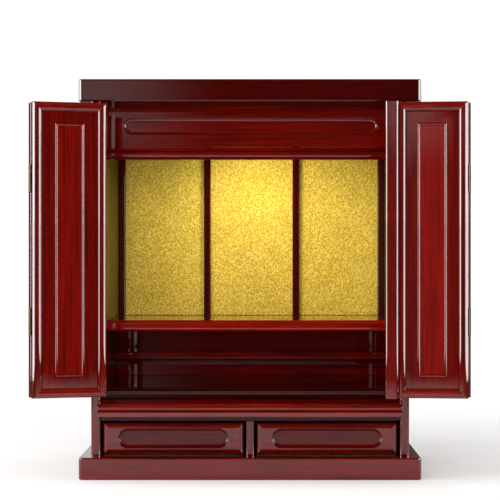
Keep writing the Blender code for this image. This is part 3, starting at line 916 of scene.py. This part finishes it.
class ALTAR_OT_pull_out_board(AltarOperator):
    """Models the pull-out board with its moulded front."""

    bl_idname = "altar.pull_out_board"
    bl_label = "Pull-out board"

    def execute(self, context):
        low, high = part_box("pull_out_tray")
        fascia = low.z + 0.0052
        ledge = 0.0009
        quirk = 0.0012
        foot = 0.0005
        brow = 0.0007
        radius = (high.z - fascia) / 2
        profile = [(high.y, low.z), (low.y + foot, low.z)]
        profile += arc((low.y + foot, low.z + foot), foot, 250, 180, 3)
        profile += arc((low.y + brow, fascia - brow), brow, 180, 90, 4)
        profile += [(low.y + ledge + quirk, fascia)]
        profile += arc((low.y + ledge + radius, fascia + radius), radius, 238, 90, 14)
        profile += [(high.y, high.z)]
        round_end = 0.0012
        end_spread = 0.0005
        tray = add_moulding(
            "pull_out_tray_moulded", profile, "X", low.x + round_end, high.x - round_end
        )
        for face_x in (low.x + round_end, high.x - round_end):
            pick(tray, "FACE", lambda face: near(face.calc_center_median().x, face_x))
            inset_round(end_spread, round_end, steps=4)
            close_mesh()
        lacquer_piece(tray, "pull_out_board", "pull_out_tray")
        return {"FINISHED"}


class ALTAR_OT_drawers(AltarOperator):
    """Models both drawers: the recessed fronts and the boards of the boxes."""

    bl_idname = "altar.drawers"
    bl_label = "Drawers"

    def execute(self, context):
        sizes = settings("altar_moulding")
        radius = sizes.drawer_round
        for word, _ in SIDES:
            body = word + "_drawer"
            low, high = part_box(body + "_front")
            front = add_block(body + "_front_moulded", low + Vector((0, radius, 0)), high)
            pick(front, "FACE", lambda face: face.normal.y < -FACING)
            inset_round(sizes.drawer_spread, radius, steps=10)
            close_mesh()
            centre = (low + high) / 2
            cutter = add_recess_cutter(
                body + "_recess_space",
                (sizes.recess_length, sizes.recess_height, sizes.recess_depth),
                low.y,
                (centre.x, centre.z),
                RECESS_LIP,
                RECESS_COVE,
                RECESS_SPREAD,
            )
            cut(front, cutter)
            sharpen_mitres(front)
            inner = Vector((sizes.recess_length, 0.0, sizes.recess_height)) / 2
            facing_front = -0.2

            # The recess faces take the darker, duller lacquer, as painted shade.
            def in_recess_shade(face):
                off = face.center - centre
                sunk = face.center.y > low.y + RECESS_LIP and face.normal.y < facing_front
                return 1 if sunk and abs(off.x) < inner.x and abs(off.z) < inner.z else 0

            grains = ["lacquer_level_grain", "lacquer_recess_shade_grain"]
            finish_piece(front, body, [body + "_front"], grains, in_recess_shade)
            for part in ("left_wall", "right_wall", "back", "bottom"):
                node = f"{body}_{part}"
                wall = add_block(node + "_planed", *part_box(node))
                bevel_edges(wall, every, DRAWER_BOARD_ARRIS, segments=2)
                finish_piece(wall, body, [node], ["planed_paulownia"])
        return {"FINISHED"}


def turn(joint):
    """The joint's whole travel, from where it rests to its far limit."""
    pin = Matrix.Translation(Vector(joint["pos_m"]))
    angle = math.radians(joint["range_deg"][1])
    return pin @ Matrix.Rotation(angle, 4, Vector(joint["axis"])) @ pin.inverted()


def shutting(word, body):
    """Brings a shape from where its leaf rests to where it is shut."""
    matrix = turn(JOINTS[word + "_door_hinge"])
    if body == word + "_fold_door":
        matrix = matrix @ turn(JOINTS[word + "_door_fold"])
    return matrix


def shut_box(node, matrix):
    points = [matrix @ vertex.co for vertex in frame["nodes"][node].data.vertices]
    low = Vector([min(point[axis] for point in points) for axis in range(3)])
    high = Vector([max(point[axis] for point in points) for axis in range(3)])
    return low, high


def swing_open(obj, matrix):
    """Turns a shut shape to where it rests, in its mesh."""
    obj.data.transform(matrix.inverted())
    obj.data.update()


def add_leaf(name, low, high):
    """A shut door leaf: a mitred round frame, a sunk panel and a rectangle of bead on it."""
    sizes = settings("altar_moulding")
    outer = sizes.frame_outer
    inner = sizes.frame_inner
    back_arris = 0.0008
    back_sink = 0.0015
    shoulder = 0.0004
    quirk = 0.0003
    quirk_wall = 0.0001
    quirk_slope = 0.0006
    bead_quirk_wall = 0.0002
    obj = add_block(name, low + Vector((0, outer, 0)), high - Vector((0, back_arris, 0)))
    pick(obj, "FACE", lambda face: face.normal.y < -FACING)
    inset_round(outer, outer, steps=8)
    flat = sizes.frame_width - outer - inner - shoulder
    inset(flat, 0.0)
    drop = sizes.field_sink - shoulder
    inset_along([(inner * s, drop * (c - 1)) for c, s in arc((0, 0), 1.0, 0, 90, 10)])
    inset(quirk_wall, drop - sizes.field_sink - quirk)
    inset(quirk_slope, quirk)
    side = (high.x - low.x - sizes.bead_span) / 2
    inset(side - sizes.frame_width - FIELD_START, 0.0)
    lower_ends(obj, sizes.frame_width + sizes.bead_end - side)
    half = sizes.bead_width / 2
    inset(bead_quirk_wall, -quirk)
    steps = arc((0, 0), 1.0, 180, 0, 12)
    inset_along([(half * (1 + c), (sizes.bead_rise + quirk) * s) for c, s in steps])
    inset(bead_quirk_wall, quirk)
    close_mesh()
    pick(obj, "FACE", lambda face: face.normal.y > FACING)
    inset_round(back_arris, back_arris, steps=3)
    inset(sizes.frame_width - back_arris, 0.0)
    inset(bead_quirk_wall, -back_sink)
    close_mesh()
    sharpen_mitres(obj)
    return obj


def lower_ends(obj, extra):
    """Draws the picked rectangle in by this much at its top and bottom."""
    shape = bmesh.from_edit_mesh(obj.data)
    face = next(face for face in shape.faces if face.select)
    middle = face.calc_center_median().z
    for vertex in face.verts:
        vertex.co.z += extra if vertex.co.z < middle else -extra
    bmesh.update_edit_mesh(obj.data)


def leaf_wood(low, high, frame_width, bead_span):
    """Picks the wood of a leaf's faces: 0 inside the bead, 1 for stiles and margin, 2 for rails."""
    outside = (high.x - low.x - bead_span) / 2 - FIELD_START
    end_slack = 0.001

    def choose(face):
        centre = face.center
        from_side = min(centre.x - low.x, high.x - centre.x)
        from_end = min(centre.z - low.z, high.z - centre.z)
        if from_end < from_side and from_end < frame_width + 2 * FIELD_START:
            return 2
        return 0 if from_side > outside and from_end > outside - end_slack else 1

    return choose


class ALTAR_OT_doors(AltarOperator):
    """Models the four door leaves and the meeting strip."""

    bl_idname = "altar.doors"
    bl_label = "Folding doors"

    def execute(self, context):
        sizes = settings("altar_moulding")
        grains = ["lacquer_upright_grain", "lacquer_stile_grain", "lacquer_level_grain"]
        for word, _ in SIDES:
            for kind in ("main", "fold"):
                body = f"{word}_{kind}_door"
                leaf = f"{word}_{kind}_leaf"
                matrix = shutting(word, body)
                low, high = shut_box(leaf + "_frame", matrix)
                obj = add_leaf(leaf + "_moulded", low, high)
                choose = leaf_wood(low, high, sizes.frame_width, sizes.bead_span)
                picks = [choose(face) for face in obj.data.polygons]
                swing_open(obj, matrix)
                nodes = [leaf + "_frame", leaf + "_panel"]
                finish_piece(
                    obj, body, nodes, grains, lambda face: picks[face.index]
                )
        matrix = shutting("right", "right_fold_door")
        low, high = shut_box("meeting_strip", matrix)
        leaf_low, _ = shut_box("right_fold_leaf_frame", matrix)
        core_gap = 0.0003
        front_gap = 0.0004
        radius = 0.0032
        core_near = 0.0008
        core_far = leaf_low.x - core_gap
        back = leaf_low.y - front_gap
        profile = [(core_near, back), (low.x, back)]
        profile += arc((low.x + radius, low.y + radius), radius, 180, 270)
        profile += arc((high.x - radius, low.y + radius), radius, 270, 360)
        profile += [(high.x, back), (core_far, back), (core_far, high.y), (core_near, high.y)]
        strip = add_moulding("meeting_strip_rounded", profile, "Z", low.z, high.z)
        swing_open(strip, matrix)
        lacquer_piece(strip, "right_fold_door", "meeting_strip", "stile")
        return {"FINISHED"}


def add_rod(name, radius, x, y, low_z, high_z, sides=28):
    deselect_all()
    bpy.ops.mesh.primitive_cylinder_add(
        vertices=sides,
        radius=radius,
        depth=high_z - low_z,
        location=(x, y, (low_z + high_z) / 2),
    )
    obj = named(name)
    bpy.ops.object.transform_apply(location=True, rotation=True, scale=True)
    edge_share = 0.15
    for level in (low_z, high_z):
        bevel_edges(obj, level_with(2, level), radius * edge_share, segments=2)
    return obj


def add_hinge_half(name, pin, knuckles, low_z, plate_side, plate_dir):
    """A hinge plate with its tabs and knuckles and two screw heads, beside a shut pin."""
    near_x = pin.x + plate_side * PLATE_GAP
    far_x = near_x + plate_side * PLATE_THICKNESS
    xs = sorted((near_x, far_x))
    face_y = pin.y + plate_dir * PIN_OFFSET
    ys = sorted((face_y, face_y + plate_dir * PLATE_WIDTH))
    high_z = low_z + HINGE_LENGTH
    plate = add_block(name + "_plate", (xs[0], ys[0], low_z), (xs[1], ys[1], high_z))
    bevel_edges(plate, every, PLATE_ARRIS, segments=2)
    shells = [plate]
    pitch = HINGE_LENGTH / KNUCKLE_COUNT
    for index in knuckles:
        low = low_z + index * pitch
        high = low + pitch
        if index > 0:
            low += KNUCKLE_GAP / 2
        if index < KNUCKLE_COUNT - 1:
            high -= KNUCKLE_GAP / 2
        tab_ys = sorted((pin.y, face_y + plate_dir * PLATE_THICKNESS))
        tab = add_block(f"{name}_tab_{index}", (xs[0], tab_ys[0], low), (xs[1], tab_ys[1], high))
        bevel_edges(tab, every, TAB_ARRIS, segments=1)
        shells.append(tab)
        shells.append(add_rod(f"{name}_knuckle_{index}", KNUCKLE_RADIUS, pin.x, pin.y, low, high))
    if len(knuckles) > 1:
        lower_head = (low_z - PIN_HEAD_HEIGHT, low_z + OVERSHOOT)
        upper_head = (high_z - OVERSHOOT, high_z + PIN_HEAD_HEIGHT)
        for base, top in (lower_head, upper_head):
            shells.append(add_rod(name + "_pin_head", PIN_HEAD_RADIUS, pin.x, pin.y, base, top))
    screw_y = face_y + plate_dir * PLATE_WIDTH * SCREW_ACROSS
    for share in SCREW_LEVELS:
        shells.append(add_screw(name, near_x, plate_side, screw_y, low_z + HINGE_LENGTH * share))
    return joined(shells, name)


def add_screw(name, face_x, plate_side, y, z):
    """A low domed screw head on the plate's open face."""
    deselect_all()
    bpy.ops.mesh.primitive_cylinder_add(
        vertices=20,
        radius=SCREW_RADIUS,
        depth=2 * SCREW_RISE,
        location=(face_x, y, z),
        rotation=(0.0, math.pi / 2, 0.0),
    )
    obj = named(name + "_screw")
    bpy.ops.object.transform_apply(location=True, rotation=True, scale=True)
    pick(obj, "FACE", lambda face: face.normal.x * plate_side < -FACING)
    rim_share, dome_share = 0.35, 0.3
    inset(SCREW_RADIUS * rim_share, SCREW_RISE * dome_share)
    close_mesh()
    return obj


class ALTAR_OT_hinges(AltarOperator):
    """Models the halves of the main hinges and of the fold hinges."""

    bl_idname = "altar.hinges"
    bl_label = "Hinges"

    def execute(self, context):
        for word, side in SIDES:
            main_pin = Vector(JOINTS[word + "_door_hinge"]["pos_m"])
            main_turn = turn(JOINTS[word + "_door_hinge"])
            fold_pin = main_turn @ Vector(JOINTS[word + "_door_fold"]["pos_m"])
            low, high = shut_box(word + "_main_leaf_frame", shutting(word, word + "_main_door"))
            levels = {
                "lower": low.z + HINGE_END_INSET - HINGE_LENGTH / 2,
                "upper": high.z - HINGE_END_INSET - HINGE_LENGTH / 2,
            }
            halves = (
                ("body_hinge", "cabinet", main_pin, (0, 2), side, 1),
                ("leaf_hinge", word + "_main_door", main_pin, (1,), -side, 1),
                ("fold_hinge_a", word + "_main_door", fold_pin, (0, 2), side, -1),
                ("fold_hinge_b", word + "_fold_door", fold_pin, (1,), -side, -1),
            )
            for level, low_z in levels.items():
                for kind, body, pin, knuckles, plate_side, plate_dir in halves:
                    node = f"{word}_{level}_{kind}"
                    obj = add_hinge_half(
                        node + "_turned", pin, knuckles, low_z, plate_side, plate_dir
                    )
                    if body != "cabinet":
                        swing_open(obj, shutting(word, body))
                    finish_piece(obj, body, [node], ["darkened_brass"])
        return {"FINISHED"}


def add_softbox(name, place, aim, size, power, colour=WHITE):
    """A soft rectangular lamp of that width and height, turned to what it lights."""
    deselect_all()
    bpy.ops.object.light_add(type="AREA", location=place)
    lamp = bpy.context.object
    lamp.name = name
    lamp.data.shape = "RECTANGLE"
    lamp.data.size, lamp.data.size_y = size
    lamp.data.energy = power
    lamp.data.color = colour
    direction = Vector(aim) - Vector(place)
    lamp.rotation_euler = direction.to_track_quat("-Z", "Y").to_euler()
    lamp.visible_camera = False
    return lamp


def light_world():
    """White surroundings for the eye, even soft light for the wood, and for the gloss a dark
    open front between brighter sides, with a soft glow a little left of the middle."""
    world = bpy.data.worlds.new("white_room")
    bpy.context.scene.world = world
    world.use_nodes = True
    tree = world.node_tree
    tree.nodes.clear()
    white = (*WHITE, 1.0)
    direction = add_node(tree, "ShaderNodeTexCoord").outputs["Generated"]
    parts = add_node(tree, "ShaderNodeSeparateXYZ", [("Vector", direction)])

    def window(axis, edge, shades, *factors):
        """Goes smoothly from one shade to the next over an edge in the direction's part, and
        is dimmed by the factors."""
        shade = add_node(
            tree,
            "ShaderNodeMapRange",
            [("Value", parts.outputs[axis])],
            interpolation_type="SMOOTHSTEP",
            from_min=edge[0],
            from_max=edge[1],
            to_min=shades[0],
            to_max=shades[1],
        ).outputs["Result"]
        for factor in factors:
            both = [(0, shade), (1, factor)]
            shade = add_node(tree, "ShaderNodeMath", both, operation="MULTIPLY").outputs[0]
        return shade

    left = window("X", (-0.95, -0.75), (0.15, 0.0))
    open_front = window("Y", (-0.1, 0.3), (1.0, 0.1))
    upper = window("Z", (-0.15, 0.1), (0.15, 1.0))
    right = window("X", (0.40, 0.75), (0.0, 0.4), upper, open_front)
    behind = window("Y", (-0.1, 0.2), (0.0, 0.06))
    above = window("Z", (0.25, 0.8), (0.0, 0.06))
    narrow = window("X", (-0.32, -0.16), (0.0, 1.0))
    low_edge = window("Z", (0.055, 0.1), (0.1, 1.0))
    high_edge = window("Z", (0.22, 0.35), (1.0, 0.0))
    glow = window("X", (-0.03, -0.12), (0.0, 0.9), narrow, low_edge, high_edge)
    total = left
    for shade in (right, behind, above, glow):
        both = [(0, total), (1, shade)]
        total = add_node(tree, "ShaderNodeMath", both, operation="MAXIMUM").outputs[0]
    total = add_node(tree, "ShaderNodeMath", [(0, total)], operation="ADD").outputs[0]
    total.node.inputs[1].default_value = LEAST_GLOSS
    gloss = add_node(tree, "ShaderNodeBackground", [("Strength", total)], color=white)
    even_light = settings("altar_stage").even_light
    even = add_node(tree, "ShaderNodeBackground", color=white, strength=even_light)
    backdrop = add_node(tree, "ShaderNodeBackground", color=white, strength=BACKDROP_STRENGTH)
    rays = add_node(tree, "ShaderNodeLightPath")
    light = add_node(
        tree,
        "ShaderNodeMixShader",
        [
            ("Fac", rays.outputs["Is Glossy Ray"]),
            (1, even.outputs["Background"]),
            (2, gloss.outputs["Background"]),
        ],
    )
    both = add_node(
        tree,
        "ShaderNodeMixShader",
        [
            ("Fac", rays.outputs["Is Camera Ray"]),
            (1, light.outputs["Shader"]),
            (2, backdrop.outputs["Background"]),
        ],
    )
    add_node(tree, "ShaderNodeOutputWorld", [("Surface", both.outputs["Shader"])])


def add_floor(colour):
    """A round pale floor that fades out into the white backdrop, so no horizon shows."""
    deselect_all()
    bpy.ops.mesh.primitive_plane_add(size=FLOOR_SIZE, location=(0.0, 0.0, 0.0))
    floor = named("floor")
    material, tree, shader = new_material("pale_matt_floor")
    place = add_node(tree, "ShaderNodeTexCoord").outputs["Object"]
    cloud = add_node(
        tree, "ShaderNodeTexNoise", [("Vector", place)], Scale=FLOOR_CLOUDS, Detail=2.0
    ).outputs["Fac"]
    tone = add_node(tree, "ShaderNodeValToRGB", [("Fac", cloud)])
    set_ramp(tone, [(0.3, linear("#E9E8E7")), (0.7, colour)])
    tree.links.new(tone.outputs["Color"], shader.inputs["Base Color"])
    shader.inputs["Roughness"].default_value = 0.8
    shader.inputs["Specular IOR Level"].default_value = 0.1
    ahead = add_node(tree, "ShaderNodeVectorMath", [(0, place)], operation="ADD")
    ahead.inputs[1].default_value = (0.0, FLOOR_FRONT, 0.0)
    reach = add_node(
        tree, "ShaderNodeVectorMath", [(0, ahead.outputs["Vector"])], operation="LENGTH"
    )
    fade = add_node(
        tree,
        "ShaderNodeMapRange",
        [("Value", reach.outputs["Value"])],
        interpolation_type="SMOOTHSTEP",
        from_min=FLOOR_FADE[0],
        from_max=FLOOR_FADE[1],
        to_min=1.0,
        to_max=0.0,
    )
    tree.links.new(fade.outputs["Result"], shader.inputs["Alpha"])
    floor.data.materials.append(material)


def add_side_lights(stage):
    """A softbox on each side, and beside it the panels that only the gloss shows."""
    for word, side in SIDES:
        share = 1.0 if word == "left" else stage.right_share
        x, y, z = SOFTBOX_PLACE
        power = stage.side_light * share
        add_softbox(word + "_softbox", (side * x, y, z), SOFTBOX_AIM, SOFTBOX_SIZE, power)
        for kind, front, back, glow in GLOSS_PANELS[word]:
            width = back - front
            middle = (front + back) / 2
            panel = add_softbox(
                f"{word}_{kind}_gloss_panel",
                (side * GLOSS_SIDE, middle, GLOSS_LEVEL),
                (0.0, middle, GLOSS_LEVEL),
                (width, GLOSS_HEIGHT),
                stage.gloss_light * glow * width,
            )
            panel.visible_diffuse = False


def add_hidden_lights(stage):
    """Lamps that light the wood and the gold and leave no mark in the gloss."""
    top = ("top_softbox", (0.0, 0.2, 1.9), (0.0, 0.0, 0.0), (1.6, 1.6), stage.top_light)
    fill = ("front_fill", (-0.25, -1.5, 0.45), (0.0, 0.0, 0.22), (0.9, 0.7), stage.front_light)
    place, aim = (0.0, -0.012, 0.362), (0.07, 0.09, 0.17)
    niche = ("niche_lamp", place, aim, (0.06, 0.02), stage.niche_light, WARM_WHITE)
    for lamp in (top, fill, niche):
        add_softbox(*lamp).visible_glossy = False


def add_camera(stage):
    """A level long lens before the cabinet, shifted instead of turned."""
    deselect_all()
    bpy.ops.object.camera_add(
        location=(stage.camera_side, -stage.camera_distance, stage.camera_height),
        rotation=(math.pi / 2, 0.0, 0.0),
    )
    camera = bpy.context.object
    camera.data.lens = stage.lens
    camera.data.sensor_width = SENSOR_WIDTH
    camera.data.shift_x, camera.data.shift_y = CAMERA_SHIFT
    camera.data.dof.use_dof = False
    return camera


class ALTAR_OT_stage(AltarOperator):
    """Sets up the pale floor, the soft lights and the camera."""

    bl_idname = "altar.stage"
    bl_label = "Stage"

    def execute(self, context):
        stage = settings("altar_stage")
        add_floor(stage.floor)
        light_world()
        add_side_lights(stage)
        add_hidden_lights(stage)
        context.scene.camera = add_camera(stage)
        context.scene.view_settings.view_transform = "Standard"
        return {"FINISHED"}


OPERATORS = (
    ALTAR_OT_boards,
    ALTAR_OT_case,
    ALTAR_OT_floors,
    ALTAR_OT_header,
    ALTAR_OT_gold,
    ALTAR_OT_pull_out_board,
    ALTAR_OT_drawers,
    ALTAR_OT_doors,
    ALTAR_OT_hinges,
    ALTAR_OT_stage,
)


class ALTAR_PT_cabinet(bpy.types.Panel):
    """Lists the cabinet's pieces and settings."""

    bl_idname = "ALTAR_PT_cabinet"
    bl_label = "Household altar cabinet"
    bl_space_type = "VIEW_3D"
    bl_region_type = "UI"
    bl_category = "Altar cabinet"

    def draw(self, context):
        for operator in OPERATORS:
            self.layout.operator(operator.bl_idname)
        for group, kind in SETTING_GROUPS.items():
            column = self.layout.column(align=True)
            for name in kind.__annotations__:
                column.prop(getattr(context.scene, group), name)


def register():
    for kind in SETTING_GROUPS.values():
        bpy.utils.register_class(kind)
    for group, kind in SETTING_GROUPS.items():
        setattr(bpy.types.Scene, group, bpy.props.PointerProperty(type=kind))
    for operator in OPERATORS:
        bpy.utils.register_class(operator)
    bpy.utils.register_class(ALTAR_PT_cabinet)


def unregister():
    bpy.utils.unregister_class(ALTAR_PT_cabinet)
    for operator in reversed(OPERATORS):
        bpy.utils.unregister_class(operator)
    for group, kind in SETTING_GROUPS.items():
        delattr(bpy.types.Scene, group)
        bpy.utils.unregister_class(kind)


def main():
    register()
    for operator in OPERATORS:
        group, name = operator.bl_idname.split(".")
        getattr(getattr(bpy.ops, group), name)()


if __name__ == "__main__":
    main()
